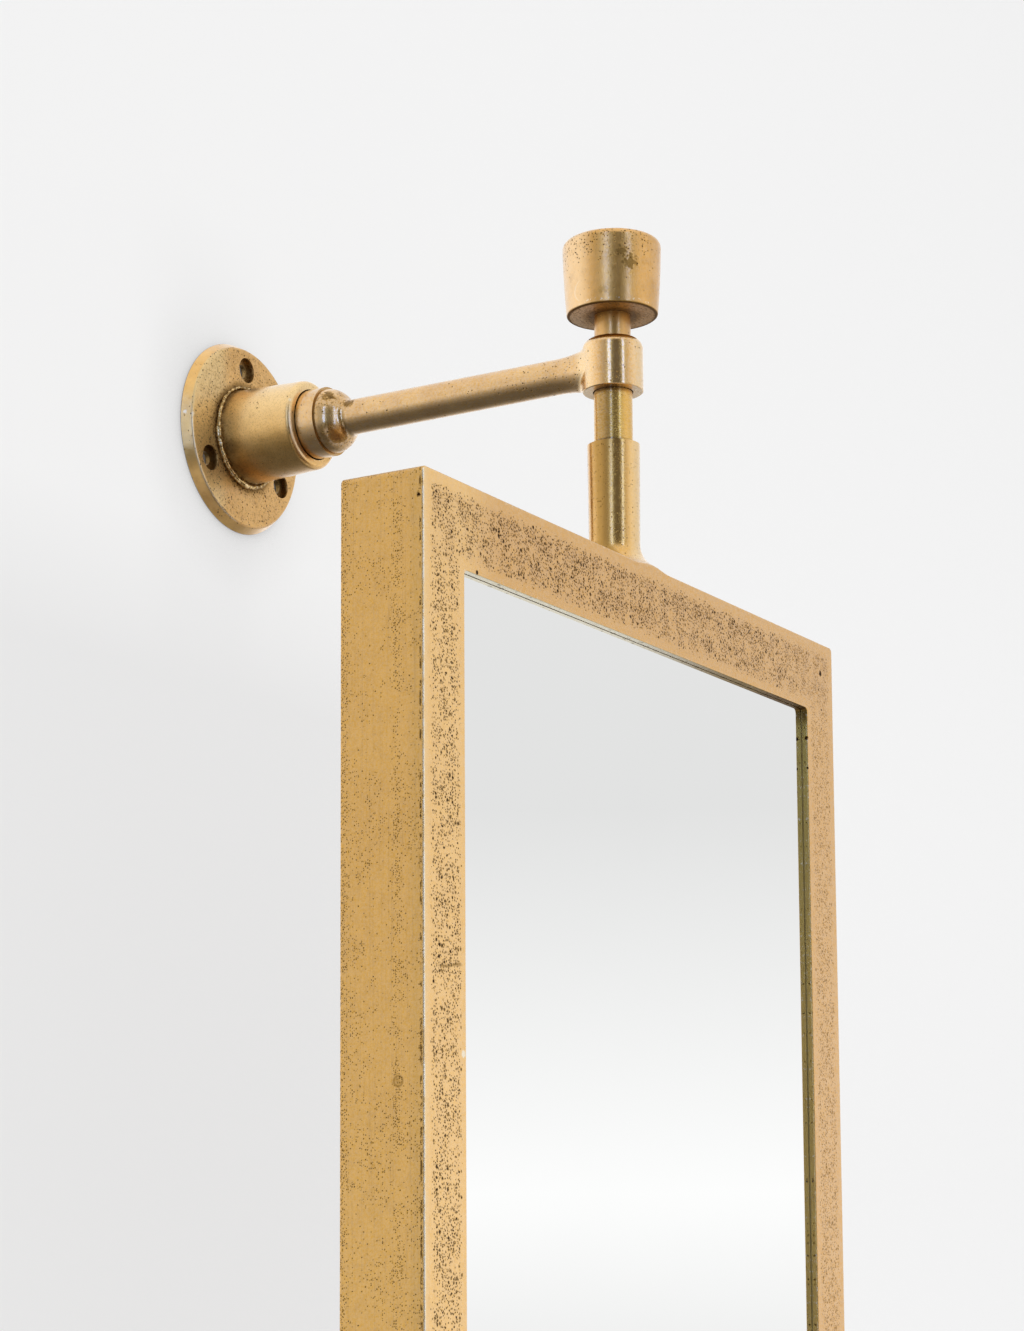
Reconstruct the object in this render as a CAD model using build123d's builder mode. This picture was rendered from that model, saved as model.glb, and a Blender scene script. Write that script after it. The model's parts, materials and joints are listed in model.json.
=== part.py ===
"""Wall mirror that swivels under a cast bracket arm. All sizes are in millimetres.

The row frame: the origin is the centre of the wall flange's back face, on the arm's axis.
The wall is the plane Y = 0, the arm runs along -Y, +Z is up and +X is to the right of
someone who looks at the mirror. The mirror hangs from a vertical pin at the arm's end.
"""

import os

from build123d import *

os.makedirs("parts", exist_ok=True)

# ---------------------------------------------------------------- driving dimensions

# Arm and the vertical pin's axis
arm_reach = 205.0            # wall to the pin's axis
rod_radius_wall = 8.2        # the rod tapers a little towards the eye
rod_radius_eye = 7.9

# Wall flange and its hub
flange_radius = 46.0         # at the wall
flange_thickness = 5.0
flange_draft = 2.6           # how much smaller the flange is at its front
flange_edge_round = 1.4
hub_root_radius = 22.8
hub_nose_radius = 21.0
hub_front = 44.4             # wall to the hub's front end
hub_root_fillet = 2.4
hub_nose_round = 2.6
screw_count = 3
screw_circle_radius = 33.6
screw_hole_radius = 3.3
screw_recess_radius = 6.1
screw_recess_depth = 3.0
rear_recess_radius = 15.0    # room behind the web for the arm's bolt
rear_recess_depth = 18.0
web_thickness = 7.0

# Arm's tail, shoulder ring and dome
shoulder_radius = 16.3
shoulder_gap = 0.5           # dark groove between the shoulder and the hub's socket
socket_depth = 8.0
ring_stand_out = 9.8         # how far the shoulder stands out of the hub
ring_step = 1.1
dome_length = 10.6
dome_fillet = 4.0
spigot_radius = 11.0
spigot_gap = 0.1
spigot_end_gap = 0.5
arm_tap_depth = 28.0
arm_bolt_length = 35.0

# Eye at the arm's end
eye_radius = 13.5
eye_height = 24.0
eye_top_round = 4.4
eye_bottom_round = 0.5
flare_length = 14.0          # the rod widens over this length before the eye,
flare_depth = 6.5            # and this far into it,
flare_height = 3.6           # by this much in radius
eye_blend = 4.4
step_below_middle = 1.0      # bearing step in the bore, below the eye's middle

# Pin and knob
pin_radius = 8.6
stud_radius = 5.0            # M10
pin_gap_in_eye = 0.4
running_gap = 0.08           # stud in the eye's bearing
pin_fit = 0.06               # pin in the sleeve, stud in the knob
friction_washer_thickness = 1.5
friction_washer_radius = 7.7
knob_neck_radius = 8.1
knob_neck_height = 11.0
knob_height = 33.8
knob_bottom_radius = 20.3
knob_top_radius = 22.0
knob_swell = 0.35            # how far the side bulges past a straight taper
knob_top_round = 3.0
knob_bottom_round = 0.9
knob_thread_depth = 28.0
stud_end_gap = 2.0
stud_past_nut = 1.5

# Sleeve on the top rail
drop_to_sleeve = 36.4        # arm's axis to the sleeve's top
sleeve_height = 58.0
sleeve_top_radius = 11.7
sleeve_root_radius = 11.3
sleeve_flare = 13.0          # cut off flush with the frame's front and back
sleeve_bore_depth = 30.0
set_screw_radius = 2.5       # M5
set_screw_length = 4.6
set_screw_inset = 0.4
set_screw_drop = 14.0        # below the sleeve's top

# Mirror frame casting
frame_width = 381.0
frame_height = 610.0
frame_depth = 38.0
side_rail_face = 30.6
top_rail_face = 35.0
lip_thickness = 2.8
frame_wall = 4.5
arris_round = 0.9
outer_corner_round = 2.4
opening_corner_round = 2.2
opening_edge_round = 0.7

# Glass and what holds it
tape_thickness = 0.4
tape_inset = 0.3             # tape stays this far back from the opening
glass_thickness = 5.0
glass_overlap = 9.0          # glass behind the lip, all round
glass_edge_gap = 1.5
glass_chamfer = 0.5
board_thickness = 4.0
rib_thickness = 3.0
boss_radius = 5.0
boss_sink = 1.5              # how far a boss runs into the rib
clip_width = 12.0
clip_length = 27.0
clip_thickness = 1.6
clip_screw_radius = 2.0      # M4
clip_screw_length = 9.0
side_clip_pitch = 220.0
end_clip_pitch = 180.0
block_length = 25.0
block_pitch = 170.0

# Standard fastener sizes
thread_gap = 0.05            # a plain shank stands for the thread
washer_gap = 0.3             # loose washer round its bolt, or loose screw in a clip
m10_clearance = 0.5
m10_washer_radius = 10.0
m10_washer_thickness = 2.0
m10_lock_washer_radius = 8.8
m10_lock_washer_thickness = 2.4
lock_washer_split = 2.0
m10_nut_flats = 17.0
m10_nut_height = 8.0
m10_head_radius = 8.0
m10_head_height = 10.0
m10_key_flats = 8.0
key_depth = 5.0
dowel_radius = 1.5
dowel_length = 9.0
m4_head_radius = 3.7
m4_head_height = 2.5
m4_head_round = 1.0
m4_key_flats = 2.5
m4_key_depth = 1.5
m5_key_flats = 2.5
end_chamfer = 0.7

# ---------------------------------------------------------------- derived places

hub_socket_floor = hub_front - socket_depth
web_front = rear_recess_depth + web_thickness
ring_front = hub_front + ring_stand_out
dowel_height = (shoulder_radius + spigot_radius) / 2
eye_top = eye_height / 2
eye_bottom = -eye_height / 2
bearing_step = -step_below_middle
pin_shoulder = bearing_step - friction_washer_thickness
knob_underside = eye_top + knob_neck_height
knob_top = knob_underside + knob_height
sleeve_top = -drop_to_sleeve
frame_top = sleeve_top - sleeve_height
sleeve_floor = sleeve_top - sleeve_bore_depth
frame_middle = frame_top - frame_height / 2
frame_front = arm_reach + frame_depth / 2        # distances from the wall
lip_back = frame_front - lip_thickness
glass_front = lip_back - tape_thickness
glass_back = glass_front - glass_thickness
board_back = glass_back - board_thickness
clip_back = board_back - clip_thickness
rail_inside = frame_top - frame_wall

opening_width = frame_width - 2 * side_rail_face
opening_height = frame_height - 2 * top_rail_face
glass_width = opening_width + 2 * glass_overlap
glass_height = opening_height + 2 * glass_overlap
rebate_width = glass_width + 2 * glass_edge_gap
rebate_height = glass_height + 2 * glass_edge_gap
rib_width = rebate_width + 2 * rib_thickness
rib_height = rebate_height + 2 * rib_thickness
boss_out = boss_radius - boss_sink
clip_reach = clip_length - clip_width

pin_line = Axis((0, -arm_reach, 0), (0, 0, 1))
pin_section = Plane(origin=(0, -arm_reach, 0), x_dir=(1, 0, 0), z_dir=(0, -1, 0))
set_screw_face = Plane(
    origin=(0, -arm_reach + sleeve_top_radius, sleeve_top - set_screw_drop),
    x_dir=(-1, 0, 0),
    z_dir=(0, 1, 0),
)


def facing_out(depth):
    """Plane parallel to the wall, this far in front of it, that faces the room."""
    return Plane(origin=(0, -depth, 0), x_dir=(1, 0, 0), z_dir=(0, -1, 0))


def facing_wall(depth, height=0):
    """Plane parallel to the wall, this far in front of it, that faces the wall."""
    return Plane(origin=(0, -depth, height), x_dir=(-1, 0, 0), z_dir=(0, 1, 0))


def corner(sketch, x, y):
    """The corner of a sketch that lies nearest to a point of its plane."""
    return sketch.vertices().sort_by_distance((x, y, 0))[0]


def keep(builder, label):
    """Name a finished piece and write its STEP file."""
    builder.part.label = label
    export_step(builder.part, f"parts/{label}.step")


# ---------------------------------------------------------------- wall_flange
# Cast brass. The hub is stepped: rear recess for the bolt, web, spigot bore, socket.
with BuildPart() as wall_flange:
    with BuildSketch(Plane.YZ) as flange_profile:
        with BuildLine():
            Polyline(
                (0, rear_recess_radius),
                (0, flange_radius),
                (-flange_thickness, flange_radius - flange_draft),
                (-flange_thickness, hub_root_radius),
                (-hub_front, hub_nose_radius),
                (-hub_front, shoulder_radius + shoulder_gap),
                (-hub_socket_floor, shoulder_radius + shoulder_gap),
                (-hub_socket_floor, spigot_radius + spigot_gap),
                (-web_front, spigot_radius + spigot_gap),
                (-web_front, stud_radius + m10_clearance),
                (-rear_recess_depth, stud_radius + m10_clearance),
                (-rear_recess_depth, rear_recess_radius),
                close=True,
            )
        make_face()
        fillet(corner(flange_profile, -flange_thickness, flange_radius), flange_edge_round)
        fillet(corner(flange_profile, -flange_thickness, hub_root_radius), hub_root_fillet)
        fillet(corner(flange_profile, -hub_front, hub_nose_radius), hub_nose_round)
    revolve(axis=Axis.Y)
    with Locations(facing_out(flange_thickness)):
        with PolarLocations(screw_circle_radius, screw_count, start_angle=90):
            CounterBoreHole(screw_hole_radius, screw_recess_radius, screw_recess_depth)
    with Locations(facing_out(hub_socket_floor)):
        with Locations((0, -dowel_height)):
            Hole(dowel_radius + thread_gap, depth=dowel_length / 2)
keep(wall_flange, "wall_flange")


# ---------------------------------------------------------------- arm
# Cast brass, one piece from the tail in the hub to the eye. Its shoulder seats on the
# floor of the hub's socket, and the bolt pulls it there from behind.
tail_end = web_front + spigot_end_gap
eye_side = arm_reach - eye_radius
with BuildPart() as arm:
    with BuildSketch(Plane.XY.offset(eye_bottom)):
        with Locations((0, -arm_reach)):
            Circle(eye_radius)
    extrude(amount=eye_height)
    fillet(arm.edges().sort_by(Axis.Z)[-1], eye_top_round)
    fillet(arm.edges().sort_by(Axis.Z)[0], eye_bottom_round)
    with BuildSketch(Plane.XY) as arm_profile:
        with BuildLine():
            Polyline(
                (rod_radius_eye + flare_height, -eye_side - flare_depth),
                (0, -eye_side - flare_depth),
                (0, -tail_end),
                (spigot_radius, -tail_end),
                (spigot_radius, -hub_socket_floor),
                (shoulder_radius, -hub_socket_floor),
                (shoulder_radius, -ring_front),
                (shoulder_radius - ring_step, -ring_front),
            )
            dome = TangentArc(
                (shoulder_radius - ring_step, -ring_front),
                (rod_radius_wall, -ring_front - dome_length),
                tangent=(0, -1),
            )
            rod = Line(dome @ 1, (rod_radius_eye, -eye_side + flare_length))
            TangentArc(
                rod @ 1,
                (rod_radius_eye + flare_height, -eye_side - flare_depth),
                tangent=rod % 1,
            )
        make_face()
        fillet(corner(arm_profile, rod_radius_wall, -ring_front - dome_length), dome_fillet)
    revolve(axis=Axis.Y)
    fillet(arm.edges().filter_by(GeomType.BSPLINE), eye_blend)
    with Locations(facing_wall(tail_end)):
        Hole(stud_radius + thread_gap, depth=arm_tap_depth)
    with Locations(facing_wall(hub_socket_floor)):
        with Locations((0, -dowel_height)):
            Hole(dowel_radius + thread_gap, depth=dowel_length / 2)
    with Locations((0, -arm_reach, eye_top)):
        CounterBoreHole(
            stud_radius + running_gap,
            friction_washer_radius + washer_gap,
            friction_washer_thickness,
            depth=eye_height,
        )
    with BuildSketch(Plane.XY.offset(eye_bottom)):
        with Locations((0, -arm_reach)):
            Circle(pin_radius + pin_gap_in_eye)
    extrude(amount=bearing_step - eye_bottom, mode=Mode.SUBTRACT)
keep(arm, "arm")


# ---------------------------------------------------------------- arm's fastening
# A socket head bolt with a split lock washer and a plain washer, in the rear recess.
def ring(depth_far, depth_near, outer, inner):
    """Washer about the arm's axis between two distances from the wall."""
    with BuildPart() as washer:
        with BuildSketch(facing_wall(depth_far)):
            Circle(outer)
            Circle(inner, mode=Mode.SUBTRACT)
        extrude(amount=depth_far - depth_near)
    return washer


washer_back = rear_recess_depth - m10_washer_thickness
lock_washer_back = washer_back - m10_lock_washer_thickness
arm_plain_washer = ring(
    rear_recess_depth, washer_back, m10_washer_radius, stud_radius + washer_gap
)
keep(arm_plain_washer, "arm_plain_washer")

with BuildPart() as arm_lock_washer:
    add(ring(washer_back, lock_washer_back, m10_lock_washer_radius, stud_radius + washer_gap))
    with BuildSketch(facing_wall(washer_back)):
        with Locations((0, m10_lock_washer_radius / 2)):
            Rectangle(lock_washer_split, m10_lock_washer_radius)
    extrude(amount=m10_lock_washer_thickness, mode=Mode.SUBTRACT)
keep(arm_lock_washer, "arm_lock_washer")

with BuildPart() as arm_bolt:
    with BuildSketch(facing_wall(lock_washer_back)):
        Circle(m10_head_radius)
    extrude(amount=m10_head_height)
    chamfer(arm_bolt.edges().group_by(Axis.Y)[-1], end_chamfer)
    with BuildSketch(facing_out(lock_washer_back)):
        Circle(stud_radius)
    extrude(amount=arm_bolt_length)
    chamfer(arm_bolt.edges().group_by(Axis.Y)[0], end_chamfer)
    with BuildSketch(facing_wall(lock_washer_back - m10_head_height)):
        RegularPolygon(m10_key_flats / 2, 6, major_radius=False)
    extrude(amount=-key_depth, mode=Mode.SUBTRACT)
keep(arm_bolt, "arm_bolt")

with BuildPart() as arm_dowel:
    with BuildSketch(facing_out(hub_socket_floor - dowel_length / 2 + thread_gap)):
        with Locations((0, -dowel_height)):
            Circle(dowel_radius)
    extrude(amount=dowel_length - 2 * thread_gap)
keep(arm_dowel, "arm_dowel")


# ---------------------------------------------------------------- swivel_pin
# Turned brass with an M10 stud at each end. Its upper shoulder bears on the step in the
# eye, its lower shoulder on the floor of the sleeve's bore.
stud_top = eye_top + knob_thread_depth - stud_end_gap
stud_bottom = rail_inside - m10_washer_thickness - m10_nut_height - stud_past_nut
with BuildPart() as swivel_pin:
    with BuildSketch(pin_section) as pin_profile:
        with BuildLine():
            Polyline(
                (0, stud_bottom),
                (stud_radius, stud_bottom),
                (stud_radius, sleeve_floor),
                (pin_radius, sleeve_floor),
                (pin_radius, pin_shoulder),
                (stud_radius, pin_shoulder),
                (stud_radius, stud_top),
                (0, stud_top),
                close=True,
            )
        make_face()
        ends = pin_profile.vertices().filter_by(lambda v: v.X > stud_radius - end_chamfer)
        outer_ends = ends.group_by(Axis.Y)[0] + ends.group_by(Axis.Y)[-1]
        chamfer(outer_ends, end_chamfer)
    revolve(axis=pin_line)
    with Locations(set_screw_face):
        Hole(set_screw_radius + thread_gap, depth=set_screw_length + 2 * set_screw_inset)
keep(swivel_pin, "swivel_pin")


# ---------------------------------------------------------------- friction washers
def pin_ring(bottom, thickness, outer, inner):
    """Washer about the pin's axis."""
    with BuildPart() as washer:
        with BuildSketch(Plane.XY.offset(bottom)):
            with Locations((0, -arm_reach)):
                Circle(outer)
                Circle(inner, mode=Mode.SUBTRACT)
        extrude(amount=thickness)
    return washer


upper_friction_washer = pin_ring(
    eye_top - friction_washer_thickness,
    friction_washer_thickness,
    friction_washer_radius,
    stud_radius + washer_gap,
)
keep(upper_friction_washer, "upper_friction_washer")

lower_friction_washer = pin_ring(
    pin_shoulder, friction_washer_thickness, pin_radius, stud_radius + washer_gap
)
keep(lower_friction_washer, "lower_friction_washer")


# ---------------------------------------------------------------- knob
# Turned from a brass casting, one piece with its neck, which rests on the eye. The side
# tapers towards the bottom with a slight swell. A blind thread takes the pin's stud.
with BuildPart() as knob:
    with BuildSketch(pin_section) as knob_profile:
        side_bottom = (knob_bottom_radius, knob_underside)
        side_top = (knob_top_radius, knob_top)
        side_middle = (
            (knob_bottom_radius + knob_top_radius) / 2 + knob_swell,
            (knob_underside + knob_top) / 2,
        )
        with BuildLine():
            Polyline(
                side_top,
                (0, knob_top),
                (0, eye_top),
                (knob_neck_radius, eye_top),
                (knob_neck_radius, knob_underside),
                side_bottom,
            )
            ThreePointArc(side_bottom, side_middle, side_top)
        make_face()
        fillet(corner(knob_profile, *side_top), knob_top_round)
        fillet(corner(knob_profile, *side_bottom), knob_bottom_round)
    revolve(axis=pin_line)
    with Locations(Plane(origin=(0, -arm_reach, eye_top), z_dir=(0, 0, -1))):
        Hole(stud_radius + pin_fit, depth=knob_thread_depth)
keep(knob, "knob")


# ---------------------------------------------------------------- mirror_frame
# One brass casting: deep outer walls, a front lip round the opening, a rib behind the
# lip that keeps the glass in place, bosses for the clips, and the sleeve on top.
clip_spots = [
    (side * (rib_width / 2 + boss_out), row * side_clip_pitch)
    for side in (-1, 1)
    for row in (-1, 0, 1)
]
end_spots = [
    (column * end_clip_pitch / 2, side * (rib_height / 2 + boss_out))
    for side in (-1, 1)
    for column in (-1, 1)
]
# The sleeve's flare runs out over the top rail and is cut off flush with its front and back.
flare_radius = sleeve_root_radius + sleeve_flare
sleeve_foot = frame_top - frame_wall / 2
with BuildPart() as sleeve:
    with BuildSketch(pin_section):
        with BuildLine():
            Polyline(
                (flare_radius, frame_top),
                (flare_radius, sleeve_foot),
                (0, sleeve_foot),
                (0, sleeve_top),
                (sleeve_top_radius, sleeve_top),
                (sleeve_root_radius, frame_top + sleeve_flare),
            )
            RadiusArc(
                (sleeve_root_radius, frame_top + sleeve_flare),
                (flare_radius, frame_top),
                -sleeve_flare,
            )
        make_face()
    revolve(axis=pin_line)
    with BuildSketch(facing_wall(frame_front, sleeve_foot)):
        Rectangle(2 * flare_radius, 2 * (sleeve_top - sleeve_foot))
    extrude(amount=frame_depth, mode=Mode.INTERSECT)

with BuildPart() as mirror_frame:
    with BuildSketch(facing_wall(frame_front, frame_middle)):
        RectangleRounded(frame_width, frame_height, outer_corner_round)
    extrude(amount=frame_depth)
    with BuildSketch(facing_wall(lip_back, frame_middle)):
        Rectangle(frame_width - 2 * frame_wall, frame_height - 2 * frame_wall)
    extrude(amount=frame_depth - lip_thickness, mode=Mode.SUBTRACT)
    with BuildSketch(facing_wall(frame_front, frame_middle)):
        RectangleRounded(opening_width, opening_height, opening_corner_round)
    extrude(amount=lip_thickness, mode=Mode.SUBTRACT)
    with BuildSketch(facing_wall(lip_back, frame_middle)):
        Rectangle(rib_width, rib_height)
        with Locations(clip_spots + end_spots):
            Circle(boss_radius)
        Rectangle(rebate_width, rebate_height, mode=Mode.SUBTRACT)
    extrude(amount=lip_back - board_back)
    add(sleeve.part)
    fillet(mirror_frame.faces().sort_by(Axis.Y)[0].outer_wire().edges(), arris_round)
    fillet(mirror_frame.faces().sort_by(Axis.Y)[-1].outer_wire().edges(), arris_round)
    fillet(mirror_frame.faces().sort_by(Axis.Y)[0].inner_wires()[0].edges(), opening_edge_round)
    with Locations((0, -arm_reach, sleeve_top)):
        CounterBoreHole(
            stud_radius + m10_clearance,
            pin_radius + pin_fit,
            sleeve_bore_depth,
            depth=sleeve_top - rail_inside,
        )
    with Locations(set_screw_face):
        Hole(set_screw_radius + thread_gap, depth=sleeve_top_radius)
    with Locations(facing_wall(board_back, frame_middle)):
        with Locations(clip_spots + end_spots):
            Hole(clip_screw_radius + thread_gap, depth=clip_screw_length)
keep(mirror_frame, "mirror_frame")


# ---------------------------------------------------------------- pin's fastening
pin_washer = pin_ring(
    rail_inside - m10_washer_thickness,
    m10_washer_thickness,
    m10_washer_radius,
    stud_radius + washer_gap,
)
keep(pin_washer, "pin_washer")

with BuildPart() as pin_nut:
    with BuildSketch(Plane.XY.offset(rail_inside - m10_washer_thickness)):
        with Locations((0, -arm_reach)):
            RegularPolygon(m10_nut_flats / 2, 6, major_radius=False)
            Circle(stud_radius + thread_gap, mode=Mode.SUBTRACT)
    extrude(amount=-m10_nut_height)
keep(pin_nut, "pin_nut")

with BuildPart() as sleeve_set_screw:
    with BuildSketch(set_screw_face.offset(-set_screw_inset)):
        Circle(set_screw_radius)
        RegularPolygon(m5_key_flats / 2, 6, major_radius=False, mode=Mode.SUBTRACT)
    extrude(amount=-set_screw_length / 2)
    with BuildSketch(set_screw_face.offset(-set_screw_inset - set_screw_length / 2)):
        Circle(set_screw_radius)
    extrude(amount=-set_screw_length / 2)
keep(sleeve_set_screw, "sleeve_set_screw")


# ---------------------------------------------------------------- glass and its seat
with BuildPart() as glazing_tape:
    with BuildSketch(facing_wall(lip_back, frame_middle)):
        Rectangle(glass_width - 2 * tape_inset, glass_height - 2 * tape_inset)
        Rectangle(
            opening_width + 2 * tape_inset,
            opening_height + 2 * tape_inset,
            mode=Mode.SUBTRACT,
        )
    extrude(amount=tape_thickness)
keep(glazing_tape, "glazing_tape")

with BuildPart() as mirror_glass:
    with BuildSketch(facing_wall(glass_front, frame_middle)):
        Rectangle(glass_width, glass_height)
    extrude(amount=glass_thickness)
    chamfer(mirror_glass.edges().group_by(Axis.Y)[0], glass_chamfer)
    chamfer(mirror_glass.edges().group_by(Axis.Y)[-1], glass_chamfer)
keep(mirror_glass, "mirror_glass")

with BuildPart() as backing_board:
    with BuildSketch(facing_wall(glass_back, frame_middle)):
        Rectangle(glass_width, glass_height)
    extrude(amount=board_thickness)
keep(backing_board, "backing_board")

with BuildPart() as setting_blocks:
    with BuildSketch(facing_wall(glass_front, frame_middle)):
        with Locations((0, -(glass_height + glass_edge_gap) / 2)):
            with GridLocations(block_pitch, 0, 2, 1):
                Rectangle(block_length, glass_edge_gap)
    extrude(amount=glass_thickness + board_thickness)
keep(setting_blocks, "setting_blocks")


# ---------------------------------------------------------------- clips and screws
# Flat turn clips: each is screwed to a boss and its free end lies on the board.
with BuildPart() as retaining_clips:
    with BuildSketch(facing_wall(board_back, frame_middle)):
        for x, z in clip_spots:
            with Locations((x - clip_reach / 2 * (1 if x > 0 else -1), z)):
                SlotCenterToCenter(clip_reach, clip_width)
        for x, z in end_spots:
            with Locations((x, z - clip_reach / 2 * (1 if z > 0 else -1))):
                SlotCenterToCenter(clip_reach, clip_width, rotation=90)
        with Locations(clip_spots + end_spots):
            Circle(clip_screw_radius + washer_gap, mode=Mode.SUBTRACT)
    extrude(amount=clip_thickness)
keep(retaining_clips, "retaining_clips")

with BuildPart() as clip_screws:
    with BuildSketch(facing_wall(clip_back, frame_middle)):
        with Locations(clip_spots + end_spots):
            Circle(m4_head_radius)
    extrude(amount=m4_head_height)
    fillet(clip_screws.edges().group_by(Axis.Y)[-1], m4_head_round)
    with BuildSketch(facing_out(clip_back).shift_origin((0, -clip_back, frame_middle))):
        with Locations(clip_spots + end_spots):
            Circle(clip_screw_radius)
    extrude(amount=clip_screw_length)
    with BuildSketch(facing_wall(clip_back - m4_head_height, frame_middle)):
        with Locations(clip_spots + end_spots):
            RegularPolygon(m4_key_flats / 2, 6, major_radius=False)
    extrude(amount=-m4_key_depth, mode=Mode.SUBTRACT)
keep(clip_screws, "clip_screws")
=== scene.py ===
"""Looks for a wall mirror that swivels under a cast brass bracket arm.

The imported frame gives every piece's place, in metres: the wall is the plane Y = 0, the arm
runs along -Y, +Z is up. Each section below dresses one piece, in the order of assembly.
"""

import json
import math

import bpy
import bmesh
from mathutils import Matrix, Vector, noise


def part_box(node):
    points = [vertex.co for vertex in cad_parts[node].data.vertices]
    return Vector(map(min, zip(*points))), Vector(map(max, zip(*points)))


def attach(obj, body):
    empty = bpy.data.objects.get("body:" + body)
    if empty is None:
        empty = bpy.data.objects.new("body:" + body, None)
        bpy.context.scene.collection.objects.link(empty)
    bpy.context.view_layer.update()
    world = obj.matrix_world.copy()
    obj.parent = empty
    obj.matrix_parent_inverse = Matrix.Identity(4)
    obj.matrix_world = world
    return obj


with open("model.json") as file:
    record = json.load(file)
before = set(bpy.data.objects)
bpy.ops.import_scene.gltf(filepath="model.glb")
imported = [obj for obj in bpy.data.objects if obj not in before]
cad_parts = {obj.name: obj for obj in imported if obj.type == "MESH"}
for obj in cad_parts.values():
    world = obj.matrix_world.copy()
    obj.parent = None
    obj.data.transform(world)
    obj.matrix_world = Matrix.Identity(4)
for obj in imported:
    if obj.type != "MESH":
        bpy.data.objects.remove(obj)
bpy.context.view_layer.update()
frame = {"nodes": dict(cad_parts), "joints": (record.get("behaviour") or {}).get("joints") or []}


# ---------------------------------------------------------------- wall flange and hub
# The bracket's foot is a sand casting in yellow brass, cleaned up by hand. Its face keeps the
# sand's speckle, the hub is rubbed smoother and the rim is worn. The top of the hub and the lower
# left of the rim carry painted highlights, the left of the face painted light, and the screw
# recesses and the root of the hub brown dirt with painted shade, darkest under the hub.

class Wire:
    """An output in a material's node tree. Arithmetic on it adds Math nodes to that tree."""

    def __init__(self, socket):
        self.socket = socket

    def node(self, kind, inputs, settings=None, out=0):
        """Add a node to this tree, settings first; return its output or several of them."""
        made = self.socket.id_data.nodes.new("ShaderNode" + kind)
        for name, value in (settings or {}).items():
            if name == "stops":
                set_stops(made.color_ramp, value)
            else:
                setattr(made, name, value)
        connect(made, inputs)
        if isinstance(out, tuple):
            return [Wire(made.outputs[key]) for key in out]
        return Wire(made.outputs[out])

    def math(self, operation, *values):
        """The result of a Math node on these values, of which at least one is a wire."""
        return self.node("Math", dict(enumerate(values)), {"operation": operation})

    def __add__(self, other):
        return self.math("ADD", self, other)

    def __mul__(self, other):
        return self.math("MULTIPLY", self, other)

    def __sub__(self, other):
        return self.math("SUBTRACT", self, other)

    def __rsub__(self, other):
        return self.math("SUBTRACT", other, self)

    def __truediv__(self, other):
        return self.math("DIVIDE", self, other)

    def __neg__(self):
        return self.math("MULTIPLY", self, -1)

    def __abs__(self):
        return self.math("ABSOLUTE", self)

    __radd__ = __add__
    __rmul__ = __mul__


def connect(node, inputs):
    """Give each named or numbered input of a node its wire or its value."""
    for key, value in inputs.items():
        if isinstance(value, Wire):
            node.id_data.links.new(value.socket, node.inputs[key])
        else:
            node.inputs[key].default_value = value


def set_stops(ramp, stops):
    """Put (position, colour) stops on a new colour ramp, which has two."""
    for position, _ in stops[1:-1]:
        ramp.elements.new(position)
    for element, (position, colour) in zip(ramp.elements, stops):
        element.position = position
        element.color = (*colour, 1.0)


def new_finish(name):
    """Start a material; returns it, its shader, and the place and normal on the piece."""
    material = bpy.data.materials.new(name)
    material.use_nodes = True
    nodes = material.node_tree.nodes
    coordinates = nodes.new("ShaderNodeTexCoord")
    place = Wire(coordinates.outputs["Object"])
    facing = Wire(coordinates.outputs["Normal"])
    return material, nodes["Principled BSDF"], place, facing


def axes_of(vector):
    """The three numbers of a vector as wires."""
    return vector.node("SeparateXYZ", {0: vector}, out=(0, 1, 2))


def grain(place, size, detail=2.0, roughness=0.5, stretch=(1, 1, 1), shift=(0, 0, 0)):
    """Noise from 0 to 1 with features of this size in metres, drawn out by stretch.

    The shift picks another part of the noise, so that two patterns of a piece don't match.
    """
    scale = [1 / (size * s) for s in stretch]
    moved = place.node("Mapping", {"Vector": place, "Location": shift, "Scale": scale})
    texture = {"Vector": moved, "Scale": 1.0, "Detail": detail, "Roughness": roughness}
    return place.node("TexNoise", texture)


def ease(value, low, high):
    """0 before low, 1 after high and smooth between; high may be the smaller one."""
    limits = {"Value": value, 1: low, 2: high, 3: 0.0, 4: 1.0}
    return value.node("MapRange", limits, {"interpolation_type": "SMOOTHSTEP"})


def band(value, middle, width):
    """1 at the middle, fading to 0 at this distance on either side."""
    return ease(abs(value - middle), width, 0.0)


def flecks(place, size, low, high, detail=3.0, roughness=0.7, **pattern):
    """Specks of about this size: the parts of the noise that rise from low to high."""
    return ease(grain(place, size, detail, roughness, **pattern), low, high)


def tint(amount, colour, other):
    """Mix of two colours, all of the second where amount is 1."""
    colours = [c if isinstance(c, Wire) else (*c, 1.0) for c in (colour, other)]
    mixed = {0: amount, 6: colours[0], 7: colours[1]}
    return amount.node("Mix", mixed, {"data_type": "RGBA"}, out=2)


def across(one, other):
    """Length of two coordinates taken together."""
    square = one * one + other * other
    return square.math("SQRT", square)


def away_from(place, middle):
    """Distance from a point of the piece."""
    offset = place.node("VectorMath", {0: place, 1: middle}, {"operation": "SUBTRACT"})
    return place.node("VectorMath", {0: offset}, {"operation": "LENGTH"}, out="Value")


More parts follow.
